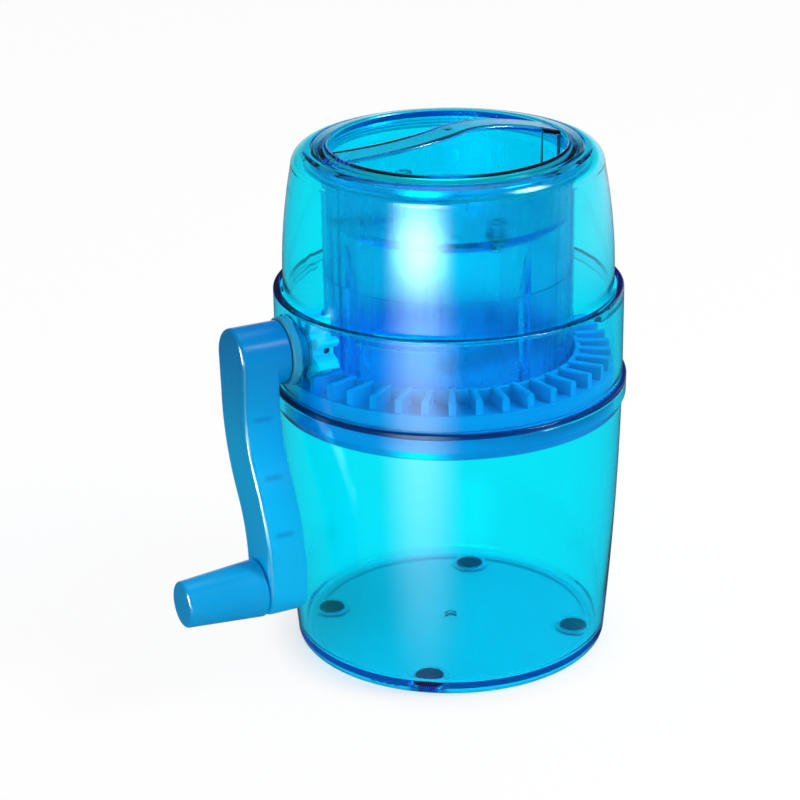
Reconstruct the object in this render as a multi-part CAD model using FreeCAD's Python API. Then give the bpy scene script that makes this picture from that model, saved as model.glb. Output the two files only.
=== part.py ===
import FreeCAD, Part
import math
import os

# Hand-cranked ice shaver. Millimetres, +Z up, origin on the body axis in the table plane.
# The crank points along -X. From the table up: clear cup, bearing ring, clear collar with the crank,
# gear disc with the blade, dome with the hopper tube, twist lid with its ice press.

# Fits
running_clearance = 0.06    # shaft in a bush, knob on its pin
turning_gap = 0.3           # between pieces that turn or lift past each other
seat_gap = 0.1              # under a piece that rests but has to come off

# Cup
cup_height = 100.9
cup_upper_radius = 62.1
cup_middle_taper = 1.75     # radius at the middle less than at the upper wall
cup_middle_height = 48.0
cup_base_taper = 5.1
cup_rim_drop = 7.9          # end of the upper wall below the rim
cup_wall = 2.2
cup_floor = 3.0
cup_lip_overhang = 1.4      # lip outside the cup's upper wall
cup_lip_flare = 3.0
cup_lip_round = 0.5
cup_bottom_round = 3.0
foot_ring_width = 3.2
foot_recess = 1.0
gate_mark_radius = 1.4
gate_mark_height = 0.4

# Rubber feet under the cup
foot_count = 4
foot_inset = 10.8           # feet inside the cup's foot
foot_first_angle = 52.5
foot_radius = 5.0
foot_socket_depth = 0.8
foot_collar_width = 1.9

# Collar
collar_step = 0.1           # collar outside the cup's upper wall
collar_wall = 2.6
collar_height = 34.5
collar_flange_overhang = 1.4
collar_flange_height = 1.6
collar_rim_round = 0.5
seat_lug_count = 4
seat_lug_angle = 45.0
seat_lug_sweep = 28.0
seat_lug_depth = 2.6
seat_lug_height = 2.0
seat_lug_drop = 2.6         # top of the lugs below the collar's rim
hook_sweep = 16.0

# Retainer ring under the gear disc, snapped in the collar's bore
retainer_ledge = 9.1        # width of the ledge under the disc
retainer_drop = 0.6         # underside of its plate below the collar
retainer_plate = 2.0
skirt_wall = 2.2
skirt_depth = 8.2
bead_depth = 0.4
bead_height = 0.8
bead_rise = 0.4             # bead above the collar's bottom edge

# Gear disc
fin_count = 40
fin_thickness = 2.5
fin_height = 5.4
fin_top_round = 0.9
fin_length = 11.6
fin_foot_depth = 0.5        # foot of the fins in the inner wall
fin_recess = 1.1            # ends of the fins inside the disc's rim
disc_clearance = 0.5        # outside the disc, in the collar
disc_rim_height = 5.3
disc_rim_wall = 1.8
disc_web = 2.2
disc_inner_gap = 0.9        # between the disc and the hopper
disc_inner_wall = 1.7
disc_inner_rise = 4.4       # inner wall above the gear floor
disc_plate = 2.4
disc_plate_drop = 3.2       # top of the plate below the gear floor

# Blade on the disc
blade_offset = 3.5          # cutting edge beside the axis
blade_angle = 12.0          # direction of the cutting edge
blade_start = -5.0
blade_end_gap = 8.2         # between the blade's end and the disc's inner wall
blade_width = 14.0
blade_thickness = 1.2
blade_bevel = 2.4
blade_edge = 0.1            # left blunt at the cutting edge
blade_proud = 0.7
slot_width = 5.0
blade_overhang = 0.9
blade_screw_count = 2
blade_screw_spacing = 24.0
blade_screw_inset = 5.0     # screws from the back of the blade
blade_screw_radius = 1.5
blade_screw_head_radius = 2.7
blade_screw_length = 2.8
blade_slot_length = 2.8
blade_slot_width = 0.6
blade_slot_depth = 0.7

# Hopper tube hung on the dome's lip
hopper_wall = 1.5
hopper_lower_wall = 2.2
hopper_step_rise = 35.6     # step in the bore above the hopper's foot
hopper_running_gap = 1.0    # above the blade
hopper_flange_overhang = 3.3
hopper_flange = 1.5
rib_count = 4
rib_first_angle = 10.2
rib_thickness = 2.6
rib_depth = 3.0
rib_taper_height = 16.0

# Dome
dome_side_gap = 0.9         # between the dome and the collar's bore
dome_wall = 2.0
dome_middle_inset = 1.35    # dome's radius at the middle less than at its foot
dome_middle_rise = 30.0     # above the dome's foot
dome_upper_inset = 3.9
dome_upper_rise = 46.3
dome_shoulder_radius = 6.3
dome_lip_gap = 0.5          # between the hopper and the dome's lip
dome_lip = 1.4
lid_recess_depth = 4.35
lid_side_gap = 0.45
dome_recess_wall = 1.8
dome_tab_sweep = 14.0
dome_tab_height = 1.3

# Lid
lid_overhang = 3.3          # lid outside the hopper
lid_edge_rise = 0.5         # lid's outer edge above the dome
lid_rim_rise = 1.0          # crest of the lid's rim above its outer edge
lid_wall = 1.1
lid_floor = 1.6
well_wall_gap = 0.4         # between the well's wall and the hopper's bore
well_draft = 0.7
well_depth = 24.0
well_edge_round = 1.2
lid_skirt_wall = 1.8
grip_width = 12.0
grip_chord_inset = 2.8      # chord of each half of the S less than the well's radius
grip_sagitta = 4.6
grip_arch = 4.3             # middle of the grip above the rim
grip_drop = 0.35            # ends of the grip below the rim
grip_wall = 1.8
grip_edge_round = 1.4
grip_flare_length = 19.0    # the grip widens over this length before the wall
grip_flare_angle = -13.5
grip_flare_bulge = 1.6

# Ice press under the lid
press_inset = 2.1           # press inside the foot of the well
press_plate = 2.4
press_round = 0.8
press_pad_radius = 3.6      # pads round the screws that stand the press off the lid
press_pad_rise = 0.4
spike_radius = 2.2
spike_tip_radius = 0.4
spike_height = 9.0
spike_rings = ((4, 14.0), (8, 29.0))
press_boss_radius = 3.4
press_boss_inset = 6.6      # centre of the bosses inside the foot of the well
press_boss_height = 4.4     # above the well's floor
press_boss_round = 0.6
press_screw_radius = 1.5
press_screw_head_radius = 3.0
press_screw_head = 1.8
press_screw_grip = 4.8
press_screw_tip_gap = 0.5
press_screw_head_round = 0.7
press_slot_length = 3.2
press_slot_width = 0.7
press_slot_depth = 0.9

# Crank
tooth_floor_gap = 0.4       # tips of the pinion above the gear disc's floor
arm_thickness = 14.0
arm_width = 20.4
arm_offset = 18.2           # knob axis beside the shaft axis
arm_drop = 78.2             # knob axis below the shaft axis
arm_bend_start = 14.0       # straight under the shaft axis before the bend
arm_bend_drop = 60.0
arm_outer_round = 2.0
arm_inner_round = 1.0
head_flare = 0.8             # the arm's head, and its hub, past the arm's sides
hub_length = 4.8
hub_round = 0.6
shaft_radius = 4.0
shaft_grip = 12.0           # shaft inside the hub
shaft_end_round = 0.5

# Bush, boss and washer
bush_flange_radius = 12.0
bush_flange = 3.1
bush_flange_round = 0.6
bush_radius = 6.5
bush_projection = 2.7       # bush inside the collar's bore
boss_radius = 12.4
boss_rise = 0.6             # boss outside the collar
washer_radius = 6.8
washer_thickness = 0.8

# Pinion
pinion_teeth = 8
pinion_tip_radius = 12.9
pinion_root_radius = 7.2
pinion_face = 7.4
tooth_root_half = 1.6
tooth_middle_half = 1.8
tooth_tip_half = 1.0
tooth_middle_radius = 10.6
tooth_crown = 0.9           # rounded tip above the tooth's straight sides
pinion_pin_radius = 1.2
pinion_pin_inset = 2.4      # from the pinion's inner end
pinion_pin_recess = 0.7

# Knob
knob_base_radius = 10.2
knob_base_round = 1.0
knob_tip_radius = 8.2
knob_length = 27.2
knob_cap = 1.8
knob_cap_round = 1.5
knob_pin_radius = 3.0
knob_pin_grip = 9.0
knob_pin_head_radius = 5.2
knob_pin_head = 1.8
knob_cavity_radius = 6.0
knob_cavity_depth = 5.0
knob_plug = 2.4

# Radii that follow from the sizes above
cup_middle_radius = cup_upper_radius - cup_middle_taper
cup_base_radius = cup_upper_radius - cup_base_taper
foot_circle_radius = cup_base_radius - foot_inset
cup_lip_radius = cup_upper_radius + cup_lip_overhang
collar_radius = cup_upper_radius + collar_step
collar_bore_radius = collar_radius - collar_wall
collar_flange_radius = collar_radius + collar_flange_overhang
skirt_radius = cup_upper_radius - cup_wall - turning_gap
disc_radius = collar_bore_radius - disc_clearance
retainer_inner_radius = disc_radius - retainer_ledge
fin_outer_radius = disc_radius - fin_recess
fin_inner_radius = fin_outer_radius - fin_length
disc_inner_radius = fin_inner_radius + fin_foot_depth - disc_inner_wall
blade_length = disc_inner_radius - blade_end_gap - blade_start
hopper_radius = disc_inner_radius - disc_inner_gap
hopper_bore_radius = hopper_radius - hopper_wall
hopper_flange_radius = hopper_radius + hopper_flange_overhang
dome_radius = collar_bore_radius - dome_side_gap
dome_middle_radius = dome_radius - dome_middle_inset
dome_upper_radius = dome_radius - dome_upper_inset
dome_lip_radius = hopper_radius + dome_lip_gap
lid_radius = hopper_radius + lid_overhang
well_radius = hopper_bore_radius - well_wall_gap - lid_wall
grip_chord = well_radius - grip_chord_inset
grip_flare_start = well_radius - grip_flare_length
well_foot_radius = well_radius - well_draft
press_boss_distance = well_foot_radius - press_boss_inset
press_radius = well_foot_radius - press_inset

# Heights that follow
cup_upper_height = cup_height - cup_rim_drop
collar_bottom = cup_height + seat_gap
collar_top = collar_bottom + collar_height
retainer_bottom = collar_bottom - retainer_drop
retainer_top = retainer_bottom + retainer_plate
skirt_bottom = retainer_bottom - skirt_depth
disc_bottom = retainer_top + 2 * seat_gap
gear_floor = disc_bottom + disc_rim_height
fin_top = gear_floor + fin_height
plate_top = gear_floor - disc_plate_drop
plate_bottom = plate_top - disc_plate
blade_top = plate_top + blade_proud
hopper_bottom = blade_top + hopper_running_gap
hopper_step_height = hopper_bottom + hopper_step_rise
seat_lug_top = collar_top - seat_lug_drop
dome_bottom = seat_lug_top + seat_gap
dome_middle_height = dome_bottom + dome_middle_rise
dome_upper_height = dome_bottom + dome_upper_rise
dome_top = dome_upper_height + dome_shoulder_radius
recess_floor = dome_top - lid_recess_depth
dome_lip_bottom = recess_floor - dome_lip
hopper_flange_bottom = recess_floor + seat_gap
hopper_top = hopper_flange_bottom + hopper_flange
lid_edge_height = dome_top + lid_edge_rise
lid_rim_height = lid_edge_height + lid_rim_rise
well_floor = lid_rim_height - well_depth
lid_underside = well_floor - lid_floor
press_top = lid_underside - press_pad_rise
press_bottom = press_top - press_plate
crank_height = gear_floor + pinion_tip_radius + tooth_floor_gap

# The crank's places along X, as distances from the body axis
boss_face = collar_radius + boss_rise
bush_inner_reach = collar_bore_radius - bush_projection
hub_inner = boss_face + bush_flange + turning_gap
hub_radius = arm_width / 2 + head_flare
crank_face = hub_inner + hub_length + arm_thickness
pinion_outer_end = bush_inner_reach - washer_thickness - 2 * seat_gap
pinion_inner_end = pinion_outer_end - pinion_face
knob_face = crank_face + turning_gap
knob_height = crank_height - arm_drop

up = FreeCAD.Vector(0, 0, 1)
outward = FreeCAD.Vector(-1, 0, 0)
origin = FreeCAD.Vector(0, 0, 0)


def point(radius, height):
    """A point of a section in the XZ plane."""
    return FreeCAD.Vector(radius, 0, height)


def wire_of(path):
    """A closed wire from points, where a pair (middle, end) is an arc through middle to end."""
    edges = []
    start = path[0]
    for step in path[1:] + [path[0]]:
        if isinstance(step, tuple):
            middle, end = step
            edges.append(Part.Arc(start, middle, end).toShape())
        else:
            end = step
            if start.distanceToPoint(end) > 1e-7:
                edges.append(Part.LineSegment(start, end).toShape())
        start = end
    return Part.Wire(edges)


def revolved(path):
    """The section revolved about the body axis."""
    return Part.Face(wire_of(path)).revolve(origin, up, 360)


def ring_sector(inner, outer, bottom, top, middle_angle, sweep):
    """A stretch of a ring, centred on one angle."""
    path = [point(inner, bottom), point(outer, bottom), point(outer, top), point(inner, top)]
    sector = Part.Face(wire_of(path)).revolve(origin, up, sweep)
    sector.rotate(origin, up, middle_angle - sweep / 2)
    return sector


def polar(radius, degrees, height=0.0):
    """A point at a radius and angle about the body axis."""
    angle = math.radians(degrees)
    return FreeCAD.Vector(radius * math.cos(angle), radius * math.sin(angle), height)


def rod(radius, start, end, y=0.0, z=0.0):
    """A cylinder along X between two distances from the body axis on the crank's side."""
    return Part.makeCylinder(radius, end - start, FreeCAD.Vector(-start, y, z), outward)


def filleted(shape, radius, wanted):
    """The shape with its wanted edges rounded."""
    edges = [edge for edge in shape.Edges if wanted(edge)]
    return shape.makeFillet(radius, edges)


def is_rim(edge, radius, height):
    """Whether an edge is the circle of that radius about the body axis at that height."""
    return (isinstance(edge.Curve, Part.Circle) and abs(edge.Curve.Radius - radius) < 1e-6
            and abs(edge.Curve.Center.z - height) < 1e-6)


def cross_slot(x, y, face, depth, length, width):
    """Cross-shaped cutter for a screw's head, from its face along Z by the signed depth."""
    bars = []
    for along, across in ((length, width), (width, length)):
        corner = FreeCAD.Vector(x - along / 2, y - across / 2, min(face, face + depth))
        bars.append(Part.makeBox(along, across, abs(depth), corner))
    return bars[0].fuse(bars[1])


def around(shape, count, step_angle):
    """Copies of a shape about the body axis."""
    copies = []
    for index in range(count):
        copy = shape.copy()
        copy.rotate(origin, up, index * step_angle)
        copies.append(copy)
    return copies


# ---------------------------------------------------------------- cup and feet

def foot_places():
    """Centres of the rubber feet."""
    step = 360 / foot_count
    return [polar(foot_circle_radius, foot_first_angle + index * step) for index in range(foot_count)]


def make_cup():
    """Clear cup: foot ring with sockets, bulging wall, flared lip that carries the housing."""
    ring_outer = cup_base_radius - cup_bottom_round
    ring_inner = ring_outer - foot_ring_width
    floor_top = foot_recess + cup_floor
    inner_top = cup_upper_radius - cup_wall
    inner_base = cup_base_radius - cup_wall
    inner_middle = cup_middle_radius - cup_wall
    diagonal = 1 - math.sin(math.radians(45))
    bottom_corner = point(cup_base_radius - cup_bottom_round * diagonal, cup_bottom_round * diagonal)
    inner_corner = point(inner_base - cup_bottom_round * diagonal, floor_top + cup_bottom_round * diagonal)
    cup = revolved([
        point(0, foot_recess),
        point(ring_inner, foot_recess),
        point(ring_inner, 0),
        point(ring_outer, 0),
        (bottom_corner, point(cup_base_radius, cup_bottom_round)),
        (point(cup_middle_radius, cup_middle_height), point(cup_upper_radius, cup_upper_height)),
        point(cup_lip_radius, cup_upper_height + cup_lip_flare),
        point(cup_lip_radius, cup_height),
        point(inner_top, cup_height),
        point(inner_top, cup_upper_height - cup_lip_flare),
        (point(inner_middle, cup_middle_height), point(inner_base, floor_top + cup_bottom_round)),
        (inner_corner, point(inner_base - cup_bottom_round, floor_top)),
        point(0, floor_top),
    ])
    cup = filleted(cup, cup_lip_round, lambda edge: is_rim(edge, cup_lip_radius, cup_height))
    gate_mark = Part.makeCylinder(gate_mark_radius, gate_mark_height, FreeCAD.Vector(0, 0, floor_top))
    socket_walls = [Part.makeCylinder(foot_radius + foot_collar_width, foot_recess, place) for place in foot_places()]
    sockets = [Part.makeCylinder(foot_radius, foot_recess + foot_socket_depth, place) for place in foot_places()]
    return cup.fuse([gate_mark] + socket_walls).cut(sockets).removeSplitter()


def make_feet():
    """Four rubber pads pressed in the sockets, level with the foot ring."""
    thickness = foot_recess + foot_socket_depth
    return Part.makeCompound([Part.makeCylinder(foot_radius, thickness, place) for place in foot_places()])


# ---------------------------------------------------------------- housing

def make_retainer_ring():
    """Ring snapped in the collar: its plate carries the gear disc, its skirt centres the cup."""
    bead_bottom = collar_bottom + bead_rise
    return revolved([
        point(retainer_inner_radius, retainer_bottom),
        point(skirt_radius - skirt_wall, retainer_bottom),
        point(skirt_radius - skirt_wall, skirt_bottom),
        point(skirt_radius - skirt_wall / 4, skirt_bottom),
        point(skirt_radius, skirt_bottom + skirt_wall / 4),
        point(skirt_radius, collar_bottom),
        point(collar_bore_radius, collar_bottom),
        point(collar_bore_radius, bead_bottom),
        point(collar_bore_radius + bead_depth, bead_bottom + bead_height / 2),
        point(collar_bore_radius, bead_bottom + bead_height),
        point(collar_bore_radius, retainer_top),
        point(retainer_inner_radius, retainer_top),
    ])


def make_collar():
    """Clear cylinder round the gear, with the crank's boss at the side and a bayonet for the dome."""
    bead_bottom = collar_bottom + bead_rise
    flange_top = collar_bottom + collar_flange_height
    collar = revolved([
        point(collar_bore_radius, collar_bottom),
        point(collar_flange_radius, collar_bottom),
        point(collar_flange_radius, flange_top),
        point(collar_radius, flange_top),
        point(collar_radius, collar_top),
        point(collar_bore_radius, collar_top),
        point(collar_bore_radius, bead_bottom + bead_height),
        point(collar_bore_radius + bead_depth, bead_bottom + bead_height / 2),
        point(collar_bore_radius, bead_bottom),
    ])
    collar = filleted(collar, collar_rim_round, lambda edge: is_rim(edge, collar_radius, collar_top)
                      or is_rim(edge, collar_flange_radius, flange_top))
    boss = rod(boss_radius, collar_bore_radius - boss_radius, boss_face, z=crank_height)
    boss = boss.cut(Part.makeCylinder(collar_bore_radius, collar_top))
    collar = collar.fuse(boss)
    collar = collar.cut(rod(bush_radius, bush_inner_reach - boss_radius, boss_face, z=crank_height))
    hook_radius = dome_radius + turning_gap
    hook_bottom = dome_bottom + dome_tab_height + turning_gap
    root = (collar_bore_radius + collar_radius) / 2
    for index in range(seat_lug_count):
        angle = seat_lug_angle + index * 360 / seat_lug_count
        lug = ring_sector(collar_bore_radius - seat_lug_depth, root, seat_lug_top - seat_lug_height,
                          seat_lug_top, angle, seat_lug_sweep)
        hook = ring_sector(hook_radius, root, hook_bottom, collar_top, angle, hook_sweep)
        collar = collar.fuse([lug, hook])
    return collar.removeSplitter()


def make_bush():
    """Flanged bush that carries the crank shaft in the collar's boss."""
    flange = rod(bush_flange_radius, boss_face, boss_face + bush_flange, z=crank_height)
    flange = filleted(flange, bush_flange_round, lambda edge: edge.BoundBox.XLength < 1e-6)
    barrel = rod(bush_radius, bush_inner_reach, boss_face, z=crank_height)
    bore = rod(shaft_radius + running_clearance, bush_inner_reach - 1, boss_face + bush_flange + 1, z=crank_height)
    return flange.fuse(barrel).cut(bore).removeSplitter()


def make_washer():
    """Thrust washer between bush and pinion."""
    start = pinion_outer_end + seat_gap
    washer = rod(washer_radius, start, start + washer_thickness, z=crank_height)
    return washer.cut(rod(shaft_radius + running_clearance, start - 1, start + washer_thickness + 1, z=crank_height))


# ---------------------------------------------------------------- gear disc and blade

def blade_place(shape):
    """Moves a shape from the blade's own axes, edge along +X and body towards -Y, to the disc."""
    shape.translate(FreeCAD.Vector(0, blade_offset, 0))
    shape.rotate(origin, up, blade_angle)
    return shape


def blade_screw_places():
    """Screw centres in the blade's own axes."""
    first = blade_start + (blade_length - (blade_screw_count - 1) * blade_screw_spacing) / 2
    row = blade_screw_inset - blade_width
    return [(first + index * blade_screw_spacing, row) for index in range(blade_screw_count)]


def make_fin():
    """One upright gear fin on the angle 0, round along both top edges."""
    half = fin_thickness / 2
    flat = half - fin_top_round
    shoulder = fin_top - fin_top_round
    lean = fin_top_round * math.sin(math.radians(45))
    x = fin_inner_radius
    path = [
        FreeCAD.Vector(x, -half, gear_floor - disc_web / 2),
        FreeCAD.Vector(x, half, gear_floor - disc_web / 2),
        FreeCAD.Vector(x, half, shoulder),
        (FreeCAD.Vector(x, flat + lean, shoulder + lean), FreeCAD.Vector(x, flat, fin_top)),
        FreeCAD.Vector(x, -flat, fin_top),
        (FreeCAD.Vector(x, -flat - lean, shoulder + lean), FreeCAD.Vector(x, -half, shoulder)),
    ]
    return Part.Face(wire_of(path)).extrude(FreeCAD.Vector(fin_outer_radius - fin_inner_radius, 0, 0))


def make_gear_disc():
    """Crown gear and blade plate in one moulding, with a slot for the shavings."""
    inner_top = gear_floor + disc_inner_rise
    web_bottom = gear_floor - disc_web
    disc = revolved([
        point(0, plate_bottom),
        point(disc_inner_radius + disc_inner_wall, plate_bottom),
        point(disc_inner_radius + disc_inner_wall, web_bottom),
        point(disc_radius - disc_rim_wall, web_bottom),
        point(disc_radius - disc_rim_wall, disc_bottom),
        point(disc_radius, disc_bottom),
        point(disc_radius, gear_floor),
        point(disc_inner_radius + disc_inner_wall, gear_floor),
        point(disc_inner_radius + disc_inner_wall, inner_top),
        point(disc_inner_radius, inner_top),
        point(disc_inner_radius, plate_top),
        point(0, plate_top),
    ])
    disc = disc.fuse(around(make_fin(), fin_count, 360 / fin_count))
    slot = Part.makeBox(blade_length, slot_width + blade_overhang, 4 * disc_plate,
                        FreeCAD.Vector(blade_start, -blade_overhang, plate_bottom - disc_plate))
    seat = Part.makeBox(blade_length, blade_width, 2 * blade_thickness,
                        FreeCAD.Vector(blade_start, -blade_width, blade_top - blade_thickness))
    disc = disc.cut([blade_place(slot), blade_place(seat)])
    for x, y in blade_screw_places():
        hole = Part.makeCylinder(blade_screw_radius, 2 * disc_plate, FreeCAD.Vector(x, y, plate_bottom - disc_plate))
        disc = disc.cut(blade_place(hole))
    return disc.removeSplitter()


def make_blade():
    """Steel blade in its seat, ground to an edge over the slot."""
    top = blade_top
    bottom = top - blade_thickness
    x = blade_start
    path = [
        FreeCAD.Vector(x, -blade_width, bottom),
        FreeCAD.Vector(x, -blade_bevel, bottom),
        FreeCAD.Vector(x, 0, top - blade_edge),
        FreeCAD.Vector(x, 0, top),
        FreeCAD.Vector(x, -blade_width, top),
    ]
    blade = Part.Face(wire_of(path)).extrude(FreeCAD.Vector(blade_length, 0, 0))
    sink = blade_screw_head_radius - blade_screw_radius
    for screw_x, screw_y in blade_screw_places():
        place = FreeCAD.Vector(screw_x, screw_y, bottom)
        blade = blade.cut(Part.makeCylinder(blade_screw_radius, blade_thickness, place))
        cone_place = FreeCAD.Vector(screw_x, screw_y, top - sink)
        blade = blade.cut(Part.makeCone(blade_screw_radius, blade_screw_head_radius, sink, cone_place))
    return blade_place(blade)


def make_blade_screws():
    """Countersunk screws, heads level with the blade, each with a cross slot."""
    top = blade_top
    sink = blade_screw_head_radius - blade_screw_radius
    screws = []
    for x, y in blade_screw_places():
        foot = FreeCAD.Vector(x, y, top - blade_screw_length)
        shank = Part.makeCylinder(blade_screw_radius, blade_screw_length, foot)
        head = Part.makeCone(blade_screw_radius, blade_screw_head_radius, sink, FreeCAD.Vector(x, y, top - sink))
        slot = cross_slot(x, y, top, -blade_slot_depth, blade_slot_length, blade_slot_width)
        screws.append(blade_place(shank.fuse(head).cut(slot).removeSplitter()))
    return Part.makeCompound(screws)


# ---------------------------------------------------------------- dome and hopper

def make_dome():
    """Clear dome: shoulder, recess and lip for hopper and lid, bayonet tabs at the bottom edge."""
    shoulder_centre = dome_upper_radius - dome_shoulder_radius
    recess_radius = lid_radius + lid_side_gap
    shoulder_lean = dome_shoulder_radius * math.sin(math.radians(45))
    shoulder_end = recess_radius + dome_wall / 2
    shoulder_end_height = dome_upper_height + math.sqrt(
        dome_shoulder_radius ** 2 - (shoulder_end - shoulder_centre) ** 2)
    inner_shoulder = dome_shoulder_radius - dome_wall
    recess_wall = recess_radius + dome_recess_wall
    pocket_rise = math.sqrt(inner_shoulder ** 2 - (recess_wall - shoulder_centre) ** 2)
    middle_angle = math.atan2(pocket_rise, recess_wall - shoulder_centre) / 2
    dome = revolved([
        point(dome_radius - dome_wall, dome_bottom),
        point(dome_radius, dome_bottom),
        (point(dome_middle_radius, dome_middle_height), point(dome_upper_radius, dome_upper_height)),
        (point(shoulder_centre + shoulder_lean, dome_upper_height + shoulder_lean),
         point(shoulder_end, shoulder_end_height)),
        point(recess_radius, shoulder_end_height),
        point(recess_radius, recess_floor),
        point(dome_lip_radius, recess_floor),
        point(dome_lip_radius, dome_lip_bottom),
        point(recess_wall, dome_lip_bottom),
        point(recess_wall, dome_upper_height + pocket_rise),
        (point(shoulder_centre + inner_shoulder * math.cos(middle_angle),
               dome_upper_height + inner_shoulder * math.sin(middle_angle)),
         point(dome_upper_radius - dome_wall, dome_upper_height)),
        (point(dome_middle_radius - dome_wall, dome_middle_height),
         point(dome_radius - dome_wall, dome_bottom)),
    ])
    tab_outer = collar_bore_radius - turning_gap
    for index in range(seat_lug_count):
        angle = seat_lug_angle + index * 360 / seat_lug_count
        tab = ring_sector(dome_radius - dome_wall / 2, tab_outer, dome_bottom, dome_bottom + dome_tab_height,
                          angle, dome_tab_sweep)
        dome = dome.fuse(tab)
    return dome.removeSplitter()


def make_hopper():
    """Ice tube hung on the dome's lip, with ribs that keep the ice from turning with the blade."""
    lower_bore = hopper_radius - hopper_lower_wall
    hopper = revolved([
        point(lower_bore, hopper_bottom),
        point(hopper_radius, hopper_bottom),
        point(hopper_radius, hopper_flange_bottom),
        point(hopper_flange_radius, hopper_flange_bottom),
        point(hopper_flange_radius, hopper_top),
        point(hopper_bore_radius, hopper_top),
        point(hopper_bore_radius, hopper_step_height),
        point(lower_bore, hopper_step_height),
    ])
    root = (hopper_radius + hopper_bore_radius) / 2
    half = rib_thickness / 2
    rib_path = [
        FreeCAD.Vector(root, -half, hopper_bottom),
        FreeCAD.Vector(hopper_bore_radius - rib_depth, -half, hopper_bottom),
        FreeCAD.Vector(hopper_bore_radius - rib_depth, -half, hopper_step_height),
        FreeCAD.Vector(hopper_bore_radius, -half, hopper_step_height + rib_taper_height),
        FreeCAD.Vector(root, -half, hopper_step_height + rib_taper_height),
    ]
    rib = Part.Face(wire_of(rib_path)).extrude(FreeCAD.Vector(0, rib_thickness, 0))
    rib.rotate(origin, up, rib_first_angle)
    return hopper.fuse(around(rib, rib_count, 360 / rib_count)).removeSplitter()


# ---------------------------------------------------------------- lid and ice press

def grip_outline(width):
    """Plan outline of half the S-shaped grip, from the axis out past the lid's well, in the plane z = 0."""
    half_chord = grip_chord / 2
    bend = (half_chord ** 2 + grip_sagitta ** 2) / (2 * grip_sagitta)
    first = -math.asin(half_chord / bend)
    last = math.asin((well_radius + lid_wall - half_chord) / bend)
    middle = (first + last) / 2
    centre = FreeCAD.Vector(half_chord, grip_sagitta - bend, 0)

    def on(radius, angle):
        return centre + FreeCAD.Vector(math.sin(angle), math.cos(angle), 0) * radius

    outer = bend + width / 2
    inner = bend - width / 2
    flare = math.asin((grip_flare_start - half_chord) / inner)
    flare_from = on(inner, flare)
    flare_end = polar(well_radius + lid_wall, grip_flare_angle)
    flare_end.y += (grip_width - width) / 2
    across = (flare_end - flare_from).normalize()
    flare_middle = (flare_from + flare_end) / 2 + FreeCAD.Vector(-across.y, across.x, 0) * grip_flare_bulge
    return wire_of([
        on(inner, first),
        on(outer, first),
        (on(outer, middle), on(outer, last)),
        flare_end,
        (flare_middle, flare_from),
        (on(inner, (first + flare) / 2), on(inner, first)),
    ])


def grip_bar(width, bottom, top):
    """The whole S as a bar of one width between two heights."""
    half = Part.Face(grip_outline(width)).extrude(FreeCAD.Vector(0, 0, top - bottom))
    half.translate(FreeCAD.Vector(0, 0, bottom))
    other = half.copy()
    other.rotate(origin, up, 180)
    return half.fuse(other).removeSplitter()


def arched_cap(radius, drop, bottom):
    """Round body under the grip's arched top."""
    arch_radius = (well_radius ** 2 + grip_arch ** 2) / (2 * grip_arch)
    top = lid_rim_height + grip_arch - drop
    ball = Part.makeSphere(arch_radius, FreeCAD.Vector(0, 0, top - arch_radius))
    return Part.makeCylinder(radius, top - bottom + 1, FreeCAD.Vector(0, 0, bottom)).common(ball)


def press_boss_places():
    """Centres of the screw bosses, one on the floor of each finger well."""
    return [polar(press_boss_distance, angle) for angle in (90, 270)]


def make_lid():
    """Clear lid: sloped ring, two finger wells and the hollow arched grip between them."""
    ring_underside = lid_edge_height - lid_skirt_wall
    skirt_end = hopper_top + seat_gap
    round_lean = well_edge_round * (1 - math.sin(math.radians(45)))
    lid = revolved([
        point(0, lid_underside),
        point(well_foot_radius + lid_wall, lid_underside),
        point(well_radius + lid_wall, ring_underside),
        point(lid_radius - lid_skirt_wall, ring_underside),
        point(lid_radius - lid_skirt_wall, skirt_end),
        point(lid_radius, skirt_end),
        point(lid_radius, lid_edge_height - well_edge_round / 2),
        point(lid_radius - well_edge_round / 2, lid_edge_height),
        point(well_radius + well_edge_round, lid_rim_height),
        (point(well_radius + round_lean, lid_rim_height - round_lean),
         point(well_radius, lid_rim_height - well_edge_round)),
        point(well_foot_radius, well_floor),
        point(0, well_floor),
    ])
    reach = well_radius + lid_wall / 2
    bar = grip_bar(grip_width, lid_underside, lid_rim_height + 2 * grip_arch)
    bar = bar.common(arched_cap(reach, grip_drop, lid_underside))
    bar = filleted(bar, grip_edge_round, lambda edge: edge.BoundBox.ZMin > lid_rim_height - grip_edge_round
                   and edge.BoundBox.XLength > grip_width)
    lid = lid.fuse(bar)
    hollow = grip_bar(grip_width - 2 * grip_wall, lid_underside, lid_rim_height + 2 * grip_arch)
    hollow = hollow.common(arched_cap(well_foot_radius, grip_wall + grip_drop, lid_underside))
    lid = lid.cut(hollow)
    for place in press_boss_places():
        foot = FreeCAD.Vector(place.x, place.y, lid_underside)
        boss = Part.makeCylinder(press_boss_radius, lid_floor + press_boss_height, foot)
        boss = filleted(boss, press_boss_round, lambda edge: edge.BoundBox.ZMin > well_floor)
        hole = Part.makeCylinder(press_screw_radius, press_screw_grip, foot)
        lid = lid.fuse(boss).cut(hole)
    return lid.removeSplitter()


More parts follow.
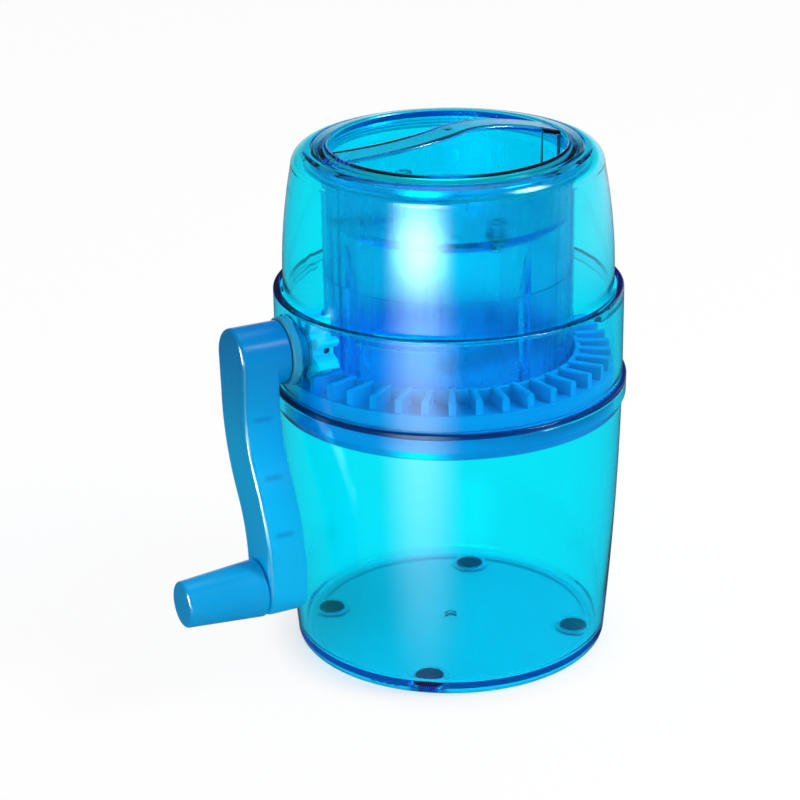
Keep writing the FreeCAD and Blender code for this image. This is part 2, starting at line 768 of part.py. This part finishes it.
def make_ice_press():
    """Plate with spikes that bears on the ice, screwed to the bosses in the wells."""
    press = Part.makeCylinder(press_radius, press_plate, FreeCAD.Vector(0, 0, press_bottom))
    press = filleted(press, press_round, lambda edge: is_rim(edge, press_radius, press_bottom))
    spikes = []
    for count, radius in spike_rings:
        for index in range(count):
            place = polar(radius, (index + 0.5) * 360 / count, press_bottom + spike_tip_radius)
            down = FreeCAD.Vector(0, 0, -1)
            spikes.append(Part.makeCone(spike_radius, spike_tip_radius, spike_height, place, down))
    press = press.fuse(spikes)
    for place in press_boss_places():
        foot = FreeCAD.Vector(place.x, place.y, press_bottom)
        pad = Part.makeCylinder(press_pad_radius, press_pad_rise, FreeCAD.Vector(place.x, place.y, press_top))
        hole = Part.makeCylinder(press_screw_radius, lid_underside - press_bottom, foot)
        press = press.fuse(pad).cut(hole)
    return press.removeSplitter()


def make_press_screws():
    """Two pan-head screws from below the ice press into the lid's bosses."""
    screws = []
    for place in press_boss_places():
        foot = FreeCAD.Vector(place.x, place.y, press_bottom)
        length = lid_underside - press_bottom + press_screw_grip - press_screw_tip_gap
        shank = Part.makeCylinder(press_screw_radius, length, foot)
        face = press_bottom - press_screw_head
        head = Part.makeCylinder(press_screw_head_radius, press_screw_head, FreeCAD.Vector(place.x, place.y, face))
        head = filleted(head, press_screw_head_round, lambda edge: is_rim(edge, press_screw_head_radius, face))
        slot = cross_slot(place.x, place.y, face, press_slot_depth, press_slot_length, press_slot_width)
        screws.append(shank.fuse(head).cut(slot).removeSplitter())
    return Part.makeCompound(screws)


# ---------------------------------------------------------------- crank

def arm_outline(x):
    """Outline of the crank arm across the shaft axis: a head as wide as the hub, an S-bend, a round end."""
    half = arm_width / 2
    bend_radius = (arm_bend_drop ** 2 + arm_offset ** 2) / (4 * arm_offset)
    bend_angle = math.asin(arm_bend_drop / 2 / bend_radius)
    bend_top = crank_height - arm_bend_start
    bend_bottom = bend_top - arm_bend_drop

    def on_upper(offset, angle):
        radius = bend_radius + offset
        return FreeCAD.Vector(x, radius * math.cos(angle) - bend_radius, bend_top - radius * math.sin(angle))

    def on_lower(offset, angle):
        radius = bend_radius - offset
        return FreeCAD.Vector(x, bend_radius - arm_offset - radius * math.cos(angle),
                              bend_bottom + radius * math.sin(angle))

    return wire_of([
        FreeCAD.Vector(x, hub_radius, crank_height),
        on_upper(half, 0),
        (on_upper(half, bend_angle / 2), on_upper(half, bend_angle)),
        (on_lower(half, bend_angle / 2), on_lower(half, 0)),
        FreeCAD.Vector(x, half - arm_offset, knob_height),
        (FreeCAD.Vector(x, -arm_offset, knob_height - half), FreeCAD.Vector(x, -arm_offset - half, knob_height)),
        on_lower(-half, 0),
        (on_lower(-half, bend_angle / 2), on_lower(-half, bend_angle)),
        (on_upper(-half, bend_angle / 2), on_upper(-half, 0)),
        FreeCAD.Vector(x, -hub_radius, crank_height),
        (FreeCAD.Vector(x, 0, crank_height + hub_radius), FreeCAD.Vector(x, hub_radius, crank_height)),
    ])


def make_crank_arm():
    """Moulded arm: flat S-shaped bar with a hub on its inner side."""
    outer_x = -crank_face
    inner_x = -crank_face + arm_thickness
    arm = Part.Face(arm_outline(outer_x)).extrude(FreeCAD.Vector(arm_thickness, 0, 0))
    arm = filleted(arm, arm_outer_round, lambda edge: edge.BoundBox.XMax < outer_x + 1e-6)
    arm = filleted(arm, arm_inner_round, lambda edge: edge.BoundBox.XMin > inner_x - 1e-6)
    hub = rod(hub_radius, hub_inner, hub_inner + hub_length + arm_thickness / 2, z=crank_height)
    hub = filleted(hub, hub_round, lambda edge: edge.BoundBox.XMin > -hub_inner - 1e-6)
    arm = arm.fuse(hub)
    arm = arm.cut(rod(shaft_radius, hub_inner - 1, hub_inner + shaft_grip, z=crank_height))
    arm = arm.cut(rod(knob_pin_radius, crank_face - knob_pin_grip, crank_face + 1,
                      y=-arm_offset, z=knob_height))
    return arm.removeSplitter()


def make_crank_shaft():
    """Steel shaft fixed in the hub and cross-drilled for the pinion's pin."""
    shaft = rod(shaft_radius, pinion_inner_end, hub_inner + shaft_grip, z=crank_height)
    shaft = filleted(shaft, shaft_end_round, lambda edge: edge.BoundBox.XLength < 1e-6
                     and edge.BoundBox.XMin > -pinion_inner_end - 1e-6)
    return shaft.cut(pinion_pin_hole(pinion_tip_radius))


def pinion_pin_hole(half_length):
    """Cross hole through pinion and shaft."""
    x = -(pinion_inner_end + pinion_pin_inset)
    return Part.makeCylinder(pinion_pin_radius, 2 * half_length,
                             FreeCAD.Vector(x, -half_length, crank_height), FreeCAD.Vector(0, 1, 0))


def make_pinion():
    """Pinion with straight-sided round-tipped teeth. At rest a gap points down at a gear fin."""
    x = -pinion_outer_end
    half_pitch = 180 / pinion_teeth
    teeth = [rod(pinion_root_radius, pinion_inner_end, pinion_outer_end, z=crank_height)]
    tip_side = pinion_tip_radius - tooth_crown
    tooth_foot = pinion_root_radius / 2
    flank_start = pinion_root_radius + tooth_crown / 2
    for index in range(pinion_teeth):
        path = [
            FreeCAD.Vector(x, -tooth_root_half, tooth_foot),
            FreeCAD.Vector(x, tooth_root_half, tooth_foot),
            FreeCAD.Vector(x, tooth_root_half, flank_start),
            FreeCAD.Vector(x, tooth_middle_half, tooth_middle_radius),
            FreeCAD.Vector(x, tooth_tip_half, tip_side),
            (FreeCAD.Vector(x, 0, pinion_tip_radius), FreeCAD.Vector(x, -tooth_tip_half, tip_side)),
            FreeCAD.Vector(x, -tooth_middle_half, tooth_middle_radius),
            FreeCAD.Vector(x, -tooth_root_half, flank_start),
        ]
        tooth = Part.Face(wire_of(path)).extrude(FreeCAD.Vector(pinion_face, 0, 0))
        tooth.rotate(origin, FreeCAD.Vector(1, 0, 0), half_pitch + index * 360 / pinion_teeth)
        tooth.translate(FreeCAD.Vector(0, 0, crank_height))
        teeth.append(tooth)
    pinion = teeth[0].fuse(teeth[1:])
    pinion = pinion.cut(rod(shaft_radius, pinion_inner_end - 1, pinion_outer_end + 1, z=crank_height))
    return pinion.cut(pinion_pin_hole(pinion_tip_radius)).removeSplitter()


def make_pinion_pin():
    """Cross pin, a little below the bottom of the tooth gaps."""
    return pinion_pin_hole(pinion_root_radius - pinion_pin_recess)


# ---------------------------------------------------------------- knob

def along_knob(path):
    """A section in radius and distance, revolved about the knob's axis."""
    solid = Part.Face(wire_of(path)).revolve(origin, up, 360)
    solid.rotate(origin, FreeCAD.Vector(0, 1, 0), -90)
    solid.translate(FreeCAD.Vector(0, -arm_offset, knob_height))
    return solid


def make_knob():
    """Tapered knob that turns on its pin, hollow at the tip for the pin's head."""
    tip = knob_face + knob_length
    bore = knob_pin_radius + running_clearance
    lean = knob_base_round * (1 - math.sin(math.radians(45)))
    return along_knob([
        point(bore, knob_face),
        point(knob_base_radius - knob_base_round, knob_face),
        (point(knob_base_radius - lean, knob_face + lean), point(knob_base_radius, knob_face + knob_base_round)),
        point(knob_tip_radius, tip),
        point(knob_cavity_radius, tip),
        point(knob_cavity_radius, tip - knob_cavity_depth),
        point(bore, tip - knob_cavity_depth),
    ])


def make_knob_cap():
    """Cap pressed in the knob's tip."""
    tip = knob_face + knob_length
    lean = knob_cap_round * (1 - math.sin(math.radians(45)))
    return along_knob([
        point(0, tip - knob_plug),
        point(knob_cavity_radius, tip - knob_plug),
        point(knob_cavity_radius, tip),
        point(knob_tip_radius, tip),
        point(knob_tip_radius, tip + knob_cap - knob_cap_round),
        (point(knob_tip_radius - lean, tip + knob_cap - lean),
         point(knob_tip_radius - knob_cap_round, tip + knob_cap)),
        point(0, tip + knob_cap),
    ])


def make_knob_pin():
    """Headed pin fixed in the arm, with the knob's running play under its head."""
    shoulder = knob_face + knob_length - knob_cavity_depth + seat_gap
    return along_knob([
        point(0, crank_face - knob_pin_grip),
        point(knob_pin_radius, crank_face - knob_pin_grip),
        point(knob_pin_radius, shoulder),
        point(knob_pin_head_radius, shoulder),
        point(knob_pin_head_radius, shoulder + knob_pin_head),
        point(0, shoulder + knob_pin_head),
    ])


pieces = {
    "cup": make_cup,
    "rubber_feet": make_feet,
    "collar": make_collar,
    "retainer_ring": make_retainer_ring,
    "crank_bush": make_bush,
    "thrust_washer": make_washer,
    "gear_disc": make_gear_disc,
    "blade": make_blade,
    "blade_screws": make_blade_screws,
    "dome": make_dome,
    "hopper": make_hopper,
    "lid": make_lid,
    "ice_press": make_ice_press,
    "press_screws": make_press_screws,
    "crank_arm": make_crank_arm,
    "crank_shaft": make_crank_shaft,
    "pinion": make_pinion,
    "pinion_pin": make_pinion_pin,
    "knob": make_knob,
    "knob_cap": make_knob_cap,
    "knob_pin": make_knob_pin,
}

os.makedirs("parts", exist_ok=True)
for name, make in pieces.items():
    shape = make()
    shape.exportStep("parts/" + name + ".step")
    print(name, "solids", len(shape.Solids), "valid", shape.isValid(), "volume", round(shape.Volume, 1))
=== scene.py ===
import math

import bpy
from mathutils import Matrix, Vector

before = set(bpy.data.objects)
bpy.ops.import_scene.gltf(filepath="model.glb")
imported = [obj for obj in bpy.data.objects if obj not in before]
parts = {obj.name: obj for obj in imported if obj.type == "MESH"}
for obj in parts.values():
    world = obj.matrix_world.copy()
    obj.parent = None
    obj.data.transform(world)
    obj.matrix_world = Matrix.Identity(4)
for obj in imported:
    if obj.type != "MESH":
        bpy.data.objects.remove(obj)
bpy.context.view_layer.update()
bpy.ops.object.select_all(action="DESELECT")

# The table top is one matt pale sheet, level under the shaver and far wider than it.
# It shows as plain white past the object and keeps the soft shadow round its foot.
table_size = 8.0
table_height = -0.0003
table_colour = (0.9, 0.9, 0.9)
shadow_radius = 0.046
shadow_fade = 0.026
white_in_shadow = 0.45
white_past_it = 0.93


class Shade:
    """One socket of a finish, so that the sums of its nodes read as sums."""

    def __init__(self, finish, socket):
        self.finish = finish
        self.socket = socket

    def out(self, name):
        """Another output of the same node."""
        return Shade(self.finish, self.socket.node.outputs[name])

    def maths(self, operation, *others):
        """A sum with numbers and shades, or with a vector where a tuple is given."""
        kind = "VectorMath" if others and isinstance(others[0], tuple) else "Math"
        return self.finish.node(kind, {"operation": operation}, self, *others)

    def length(self):
        """How long a vector is."""
        return self.finish.node("VectorMath", {"operation": "LENGTH"}, self).out("Value")

    def graded(self, start, stop, first, last, curve="SMOOTHSTEP"):
        """Goes from first to last while this goes from start to stop."""
        settings = {"interpolation_type": curve}
        return self.finish.node("MapRange", settings, self, start, stop, first, last)

    def __add__(self, other):
        return self.maths("ADD", other)

    def __sub__(self, other):
        return self.maths("SUBTRACT", other)

    def __rsub__(self, other):
        return self.finish.node("Math", {"operation": "SUBTRACT"}, other, self)

    def __mul__(self, other):
        return self.maths("MULTIPLY", other)

    def __lt__(self, other):
        return self.maths("LESS_THAN", other)

    def __gt__(self, other):
        return self.maths("GREATER_THAN", other)

    def __abs__(self):
        return self.maths("ABSOLUTE")

    __radd__ = __add__
    __rmul__ = __mul__


class Finish:
    """A material, the cloth of a lamp or the room, with the nodes that make it up."""

    def __init__(self, name, owner=None):
        self.owner = owner or bpy.data.materials.new(name)
        self.owner.use_nodes = True
        self.tree = self.owner.node_tree
        self.tree.nodes.clear()

    def node(self, kind, settings=None, *values, **links):
        """A node of that kind, with its settings first, then its sockets by order or by name."""
        made = self.tree.nodes.new("ShaderNode" + kind)
        for name, value in (settings or {}).items():
            setattr(made, name, value)
        for index, value in enumerate(values):
            self.feed(made.inputs[index], value)
        for name, value in links.items():
            wanted = name.replace("_", " ")
            self.feed(next(s for s in made.inputs if s.name == wanted and s.enabled), value)
        shown = [s for s in made.outputs if s.enabled]
        return Shade(self, shown[0]) if shown else None

    def feed(self, socket, value):
        """Links a shade to the socket, or writes a number, a vector or a colour on it."""
        if isinstance(value, Shade):
            self.tree.links.new(value.socket, socket)
        elif socket.type == "RGBA":
            socket.default_value = (*value, 1)
        else:
            socket.default_value = value

    def blend(self, share, first, second):
        """One colour into another by a share."""
        settings = {"data_type": "RGBA"}
        return self.node("Mix", settings, Factor=share, A=first, B=second)

    def place(self):
        """Where the point lies on the object, in metres."""
        return self.node("TexCoord").out("Object")

    def along(self, axis):
        """How far the point lies along X, Y or Z."""
        return self.node("SeparateXYZ", {}, self.place()).out(axis)

    def cloud(self, size, detail, where=None):
        """Even noise from 0 to 1 with patches of that size in metres."""
        where = where or self.place()
        return self.node("TexNoise", {}, Vector=where, Scale=1 / size, Detail=detail)

    def seen(self):
        """1 for what the camera sees, straight or through the clear walls, and 0 for the rest."""
        ray = self.node("LightPath")
        return ray.out("Is Camera Ray").maths("MAXIMUM", ray.out("Is Transmission Ray"))


bpy.ops.mesh.primitive_plane_add(size=table_size, location=(0, 0, table_height))
table = bpy.context.object
table.name = "table_top"
paper = Finish("white_paper")
whiteness = paper.place().length().graded(
    shadow_radius, shadow_radius + shadow_fade, white_in_shadow, white_past_it)
matt = paper.node("BsdfDiffuse", {}, Color=table_colour)
white = paper.node("Emission", {}, Color=(1, 1, 1), Strength=1.0)
paper.node("OutputMaterial", {}, paper.node("MixShader", {}, paper.seen() * whiteness, matt, white))
table.data.materials.append(paper.owner)
table.visible_glossy = False

# The room is an even white sky. It is plain white to the camera and through the clear walls, and
# dim to the gloss of the mouldings, apart from one lighter side, so their edges stay deep blue.
sky_light = 0.58
gloss_light = 0.06
side_light = 0.8
side_direction = (0.906, 0.423, 0.0)
side_edge = (0.3, 0.9)
side_foot = (-0.35, -0.18)
side_top = (0.0, 0.3)

world = bpy.data.worlds.new("studio")
bpy.context.scene.world = world
room = Finish("studio", world)
looking = room.node("TexCoord")
height = room.node("SeparateXYZ", {}, looking).out("Z")
facing = looking.maths("DOT_PRODUCT", side_direction).out("Value")
side = facing.graded(*side_edge, 0.0, 1.0) * height.graded(*side_foot, 0.0, 1.0)
side = side * height.graded(*side_top, 1.0, 0.0)
gloss = room.node("LightPath").out("Is Glossy Ray")
strength = sky_light + (1 - sky_light) * room.seen()
strength = strength + gloss * (side * side_light + gloss_light - sky_light)
room.node("OutputWorld", {}, room.node("Background", {}, Color=(1, 1, 1), Strength=strength))

# Light crosses many walls on its way through the clear mouldings, one inside the other.
walls_crossed = 48
cycles = bpy.context.scene.cycles
cycles.max_bounces = walls_crossed
cycles.transmission_bounces = walls_crossed
cycles.transparent_max_bounces = walls_crossed
cycles.glossy_bounces = 12
cycles.diffuse_bounces = 3


# The lamps are soft boxes, brightest in the middle of their cloth and fading to nothing at its
# edges. Two of them show in the gloss alone, as the broad soft line down the front of the body.
def round_body(angle, distance, height):
    """A place round the shaver, by its angle from the front towards the right."""
    turn = math.radians(angle)
    return (distance * math.sin(turn), -distance * math.cos(turn), height)


def lamp(name, size, place, aim, power, only_gloss=False):
    """A soft box of that width and height, turned from its place to its aim."""
    data = bpy.data.lights.new(name, "AREA")
    data.shape = "RECTANGLE"
    data.size, data.size_y = size
    data.energy = power
    cloth = Finish(name, data)
    spot = cloth.node("SeparateXYZ", {}, cloth.node("NewGeometry").out("Parametric"))
    glow = 1.0
    for across in (spot.out("X"), spot.out("Y")):
        glow = glow * abs(across - 0.5).graded(0.0, 0.5, 1.0, 0.0)
    cloth.node("OutputLight", {}, cloth.node("Emission", {}, Color=(1, 1, 1), Strength=glow))
    lit = bpy.data.objects.new(name, data)
    lit.location = place
    lit.visible_diffuse = not only_gloss
    lit.rotation_euler = (Vector(place) - Vector(aim)).to_track_quat("Z", "Y").to_euler()
    bpy.context.scene.collection.objects.link(lit)
    return lit


lamp("key_lamp", size=(0.9, 0.5), place=round_body(-47, 0.95, 0.12), aim=(0, 0, 0.165), power=27,
     only_gloss=True)
lamp("low_strip", size=(1.05, 1.04), place=round_body(-46.5, 1.0, -0.21), aim=(0, 0, 0.12),
     power=18.8, only_gloss=True)
lamp("right_panel", size=(0.7, 0.6), place=round_body(46, 0.9, 1.0), aim=(0, 0, 0.1), power=44)
lamp("overhead", size=(1.2, 1.2), place=round_body(150, 0.5, 1.5), aim=(0, 0, 0.1), power=6)

# The camera stands 0.9 m off on the crank's side and looks down on the shaver. Its turns are in
# degrees: aside from the body's axis, down from level, and a slight tilt of the frame.
camera_angle = -28
camera_distance = 0.8033
camera_height = 0.4134
camera_aside = 1.27
camera_down = 21.913
camera_tilt = -0.898

camera_data = bpy.data.cameras.new("camera")
camera_data.lens = 107.7
camera_data.sensor_width = 36
camera = bpy.data.objects.new("camera", camera_data)
camera.location = round_body(camera_angle, camera_distance, camera_height)
heading = Matrix.Rotation(math.radians(camera_angle + camera_aside), 4, "Z")
pitch = Matrix.Rotation(math.radians(90 - camera_down), 4, "X")
tilt = Matrix.Rotation(math.radians(camera_tilt), 4, "Z")
camera.rotation_euler = (heading @ pitch @ tilt).to_euler()
bpy.context.scene.collection.objects.link(camera)
bpy.context.scene.camera = camera
bpy.context.scene.view_settings.view_transform = "Standard"

# The cup is one clear blue moulding, glossy inside and out, that stands on the table and catches
# the shavings. Its underside is satin. The mould's gate left a dimple in its floor's middle, and a
# navy half-moon there is painted shade on the dimple's far wall.
cup_tint = (0.0, 0.9725, 0.9962)
cup_rim = 0.1008
satin_height = 0.0025
satin_roughness = 0.3
scar_radius = 0.0022
scar_shade_shift = (0.00075, 0.00141, 0)
floor_height = 0.01
clear_density = 1500
clear_index = 1.46
clear_roughness = 0.03
handling_patch = 0.004
handling_roughness = 0.03
flow_patch = 0.03
flow_depth = 0.0004
flow_share = 0.15
# The navy is painted shade, on faces where walls meet and on the gate's half-moon.
painted_shade_colour = (0.0, 0.008, 0.12)
painted_shade_roughness = 0.3


def dress(name, finish):
    """Gives a piece its finish."""
    for held in parts[name].material_slots:
        held.material = finish.owner


def joint_shade(level, side):
    """Painted shade in navy where a wall meets the next one: past that level, upwards for 1 and
    downwards for -1.
    """
    return lambda finish: finish.along("Z") * side > level * side


def gate_scar_shade(finish):
    """Painted shade in the floor: a half-moon on the far wall of the gate's dimple, the part of one
    circle that a shifted one leaves free.
    """
    flat = finish.place() * (1, 1, 0)
    moon = (flat.length() < scar_radius) * ((flat + scar_shade_shift).length() > scar_radius)
    return moon * (finish.along("Z") < floor_height)


def clear_plastic(name, tint, density=clear_density, roughness=clear_roughness, dark=(),
                  satin=None, streaks=None):
    """Clear moulded plastic that takes its colour from its depth. Dark holds the painted shade, in
    navy, where light is trapped: mating faces and marks. Satin is a height and the roughness under
    it.
    Streaks gives the share of the streaks that a mould drew on the wall, with their roughness,
    depth and strength."""
    finish = Finish(name)
    flow = finish.cloud(flow_patch, 1.0)
    handling = finish.cloud(handling_patch, 4.0)
    bump = finish.node("Bump", {}, Strength=flow_share, Distance=flow_depth, Height=flow)
    roughness = roughness + handling_roughness * handling
    if streaks:
        share, more_roughness, depth, strength = streaks(finish)
        roughness = roughness + more_roughness * share
        bump = finish.node("Bump", {}, Strength=strength, Distance=depth, Height=share, Normal=bump)
    if satin:
        roughness = roughness + satin[1] * (finish.along("Z") < satin[0])
    body = finish.node(
        "BsdfPrincipled", {}, Base_Color=(1, 1, 1), Roughness=roughness, IOR=clear_index,
        Transmission_Weight=1.0, Normal=bump)
    lamps_pass = finish.node("BsdfTransparent", {}, Color=(1, 1, 1))
    shadow = finish.node("LightPath").out("Is Shadow Ray")
    surface = finish.node("MixShader", {}, shadow, body, lamps_pass)
    for shade_mask in dark:
        painted_navy = finish.node(
            "BsdfPrincipled", {}, Base_Color=painted_shade_colour, Roughness=painted_shade_roughness)
        surface = finish.node("MixShader", {}, shade_mask(finish), surface, painted_navy)
    inside = finish.node("VolumeAbsorption", {}, Color=tint, Density=density)
    finish.node("OutputMaterial", {}, surface, inside)
    return finish


# The cup's rim face, where the collar sits, and the gate's half-moon are painted shade in navy.
cup_plastic = clear_plastic("cup_plastic", cup_tint, dark=(joint_shade(cup_rim, 1), gate_scar_shade),
                            satin=(satin_height, satin_roughness))
dress("cup", cup_plastic)

# The rubber feet are four soft dark pads, pressed into sockets under the cup's floor so that the
# shaver stands fast while the crank turns.
rubber_colours = (0.0, 0.01, 0.24), (0.0, 0.015, 0.30)
grain_size = 0.0006
grain_depth = 0.0001
grain_share = 0.1
cloud_roughness = 0.08


def opaque(name, colours, patch, roughness, share=None, marks=None, **more):
    """An opaque finish with a fine grain. One colour changes into the second in clouds of that
    patch, or by the share worked out from them, such as the crank's painted shade and light, and
    the marks, painted shade, show the first colour again."""
    finish = Finish(name)
    cloud = finish.cloud(patch, 3.0)
    grain = finish.cloud(grain_size, 2.0)
    paint = finish.blend(share(finish, cloud) if share else cloud, *colours)
    if marks:
        paint = finish.blend(marks(finish), paint, colours[0])
    relief = finish.node("Bump", {}, Strength=grain_share, Distance=grain_depth, Height=grain)
    surface = finish.node(
        "BsdfPrincipled", {}, Base_Color=paint,
        Roughness=roughness + cloud_roughness * (cloud - 0.5), Normal=relief, **more)
    finish.node("OutputMaterial", {}, surface)
    return finish


rubber = opaque("rubber", rubber_colours, patch=0.003, roughness=0.6, Specular_IOR_Level=0.1)
dress("rubber_feet", rubber)

# The collar is a second clear moulding that sits on the cup's rim: the ring wall that the crank's
# shaft passes through, with the hooks that hold the dome.
collar_tint = (0.0, 0.973, 0.9960)
collar_foot = 0.10105
# The collar's foot face, where it sits on the cup's rim, is painted shade in navy.
collar_plastic = clear_plastic("collar_plastic", collar_tint, dark=(joint_shade(collar_foot, -1),))
dress("collar", collar_plastic)

# The retainer ring is a satin blue moulding, clipped into the collar's foot by a snap bead.
# It carries the gear disc and centres the collar in the cup.
ring_colours = (0.0, 0.28, 0.63), (0.0, 0.31, 0.67)
ring_plastic = opaque("ring_plastic", ring_colours, patch=0.01, roughness=0.3)
dress("retainer_ring", ring_plastic)

# The crank bush is a pale flanged moulding in the collar's wall, where the shaft passes.
# The thrust washer is of the same plastic and lies on the shaft between the pinion and the bush.
bush_colours = (0.02, 0.33, 0.50), (0.04, 0.38, 0.54)
bush_plastic = opaque("bush_plastic", bush_colours, patch=0.004, roughness=0.45,
                      Specular_IOR_Level=0.2)
dress("crank_bush", bush_plastic)
dress("thrust_washer", bush_plastic)

# The gear disc is a satin blue moulding that turns under the ice: a ring of forty fins that the
# pinion drives, and the plate with the slot that the shavings fall through.
gear_colours = (0.0, 0.29, 0.66), (0.0, 0.32, 0.70)
gear_plastic = opaque("gear_plastic", gear_colours, patch=0.01, roughness=0.22)
dress("gear_disc", gear_plastic)

# The blade is a ground stainless strip over the disc's slot, held by two countersunk screws.
# Its blue is a painted reflection of the clear blue walls deep round it.
blade_reflected_blues = (0.12, 0.28, 0.70), (0.16, 0.33, 0.76)
blade_steel = opaque("blade_steel", blade_reflected_blues, patch=0.002, roughness=0.35, Metallic=1.0)
dress("blade", blade_steel)
dress("blade_screws", blade_steel)

# The dome is the clear top cover, with the round well for the lid. It is a moulding of its own,
# turned into the collar's hooks.
dome_tint = (0.0, 0.973, 0.9962)
dome_plastic = clear_plastic("dome_plastic", dome_tint)
dress("dome", dome_plastic)

# The hopper is the clear tube that holds the ice, hung in the dome's lip by its flange. Its wall
# under the flange is streaked from top to bottom, where the core of the mould was drawn out.
hopper_tint = (0.0, 0.938, 0.9955)
hopper_roughness = 0.06
streak_top = 0.177
streak_width = 0.0065
streak_stretch = (1, 1, 0.05)
streak_roughness = 0.34
streak_depth = 0.0011
streak_strength = 0.6


def core_streaks(finish):
    """The share of the streaks, with their roughness, depth and strength."""
    streak = finish.cloud(streak_width, 1.5, finish.place() * streak_stretch)
    share = streak * (finish.along("Z") < streak_top)
    return share, streak_roughness, streak_depth, streak_strength


hopper_plastic = clear_plastic("hopper_plastic", hopper_tint, roughness=hopper_roughness,
                               streaks=core_streaks)
dress("hopper", hopper_plastic)

# The lid is a clear round moulding that drops into the dome's well, with two finger wells and an
# S-shaped grip between them.
lid_tint = (0.0, 0.976, 0.9968)
lid_plastic = clear_plastic("lid_plastic", lid_tint)
dress("lid", lid_plastic)

# The ice press is a clear spiked plate that keeps the ice from turning. It stands off the lid on
# two low pads, and its plastic is paler than the lid's.
press_tint = (0.0, 0.984, 0.9980)
press_density = 1200
press_plastic = clear_plastic("press_plastic", press_tint, press_density)
dress("ice_press", press_plastic)

# The press screws are two small steel screws, driven from below through the press into bosses in
# the floors of the finger wells.
# Their light blue-grey is painted light and reflection, lighter and bluer than the steel, so that
# they do not show dark.
screw_reflection_colours = (0.30, 0.50, 0.66), (0.36, 0.56, 0.72)
screw_steel = opaque("screw_steel", screw_reflection_colours, patch=0.002, roughness=0.4, Metallic=0.3)
dress("press_screws", screw_steel)

# The crank arm is a satin blue moulding, swept in an S, with a hub on the shaft and a hole for the
# knob's pin. Its colour is painted shade, darkest at the hub, and painted light lower down the
# sweep, where light from the table falls; its side sank a little over three ribs, drawn as painted
# shade.
crank_shaded_and_lit = (0.0, 0.21, 0.54), (0.0, 0.48, 0.90)
hub_height = 0.128
swept_height = 0.085
painted_shade_share = 0.85
rib_line = -0.078
rib_heights = (0.1017, 0.0827, 0.0646)
rib_reach = (0.002, 0.0045)
rib_half = (0.0002, 0.0014)
sink_shade_share = 0.6


def painted_hub_shade(finish, cloud):
    """The share of the lighter colour, painted light and shade: none at the hub and most of it
    where the sweep begins.
    """
    lighter = finish.along("Z").graded(hub_height, swept_height, 0.0, 1.0, "LINEAR")
    return lighter * painted_shade_share + cloud * (1 - painted_shade_share)


def sink_mark_shade(finish):
    """Painted shade of faint level sink marks across the arm's side, one over each rib."""
    across = abs(finish.along("X") - rib_line).graded(*rib_reach, 1.0, 0.0, "LINEAR")
    ribs = 0.0
    for rib_height in rib_heights:
        ribs = ribs + abs(finish.along("Z") - rib_height).graded(*rib_half, 1.0, 0.0, "LINEAR")
    return across * ribs * sink_shade_share


# The crank's colour is painted shade at the hub and painted light down the sweep, with painted
# shade over the ribs.
crank_plastic = opaque("crank_plastic", crank_shaded_and_lit, patch=0.02, roughness=0.16,
                       share=painted_hub_shade, marks=sink_mark_shade, Specular_IOR_Level=0.25)
dress("crank_arm", crank_plastic)

# The crank shaft is a steel rod that runs in the bush, and the knob pin is the headed steel pin,
# pressed into the arm, that the knob turns on. Both are ground bright.
steel_colours = (0.42, 0.48, 0.56), (0.50, 0.56, 0.64)
steel = opaque("steel", steel_colours, patch=0.002, roughness=0.3, Metallic=1.0)
dress("crank_shaft", steel)
dress("knob_pin", steel)

# The pinion is a pale cyan moulding with eight bevelled teeth that drives the disc's fins.
# A steel cross pin ties it to the shaft; its near-black colour is painted shade, for it sits deep
# in its hole.
pinion_colours = (0.03, 0.78, 0.94), (0.06, 0.84, 0.97)
pinion_plastic = opaque("pinion_plastic", pinion_colours, patch=0.004, roughness=0.4)
dress("pinion", pinion_plastic)
pin_shade_colours = (0.01, 0.012, 0.02), (0.02, 0.022, 0.035)
pin_hole_shade = opaque("pin_hole_shade", pin_shade_colours, patch=0.002, roughness=0.5)
dress("pinion_pin", pin_hole_shade)

# The knob is a tapered satin blue grip that turns freely on its pin. Its cap is a plug of the same
# plastic, pressed into its end over the pin's head.
knob_colours = (0.0, 0.33, 0.72), (0.0, 0.36, 0.76)
knob_plastic = opaque("knob_plastic", knob_colours, patch=0.01, roughness=0.2,
                      Specular_IOR_Level=0.25)
dress("knob", knob_plastic)
dress("knob_cap", knob_plastic)

# A tall strip of light stands beside the shaver for the crank alone. It draws the bright line down
# the arm's rounded edge.
crank_side = bpy.data.collections.new("crank_side")
for name in ("crank_arm", "knob", "knob_cap"):
    crank_side.objects.link(parts[name])
edge_strip = lamp("edge_strip", size=(0.6, 1.0), place=round_body(-75, 1.0, 0.34),
                  aim=(-0.09, 0, 0.09), power=330, only_gloss=True)
edge_strip.light_linking.receiver_collection = crank_side
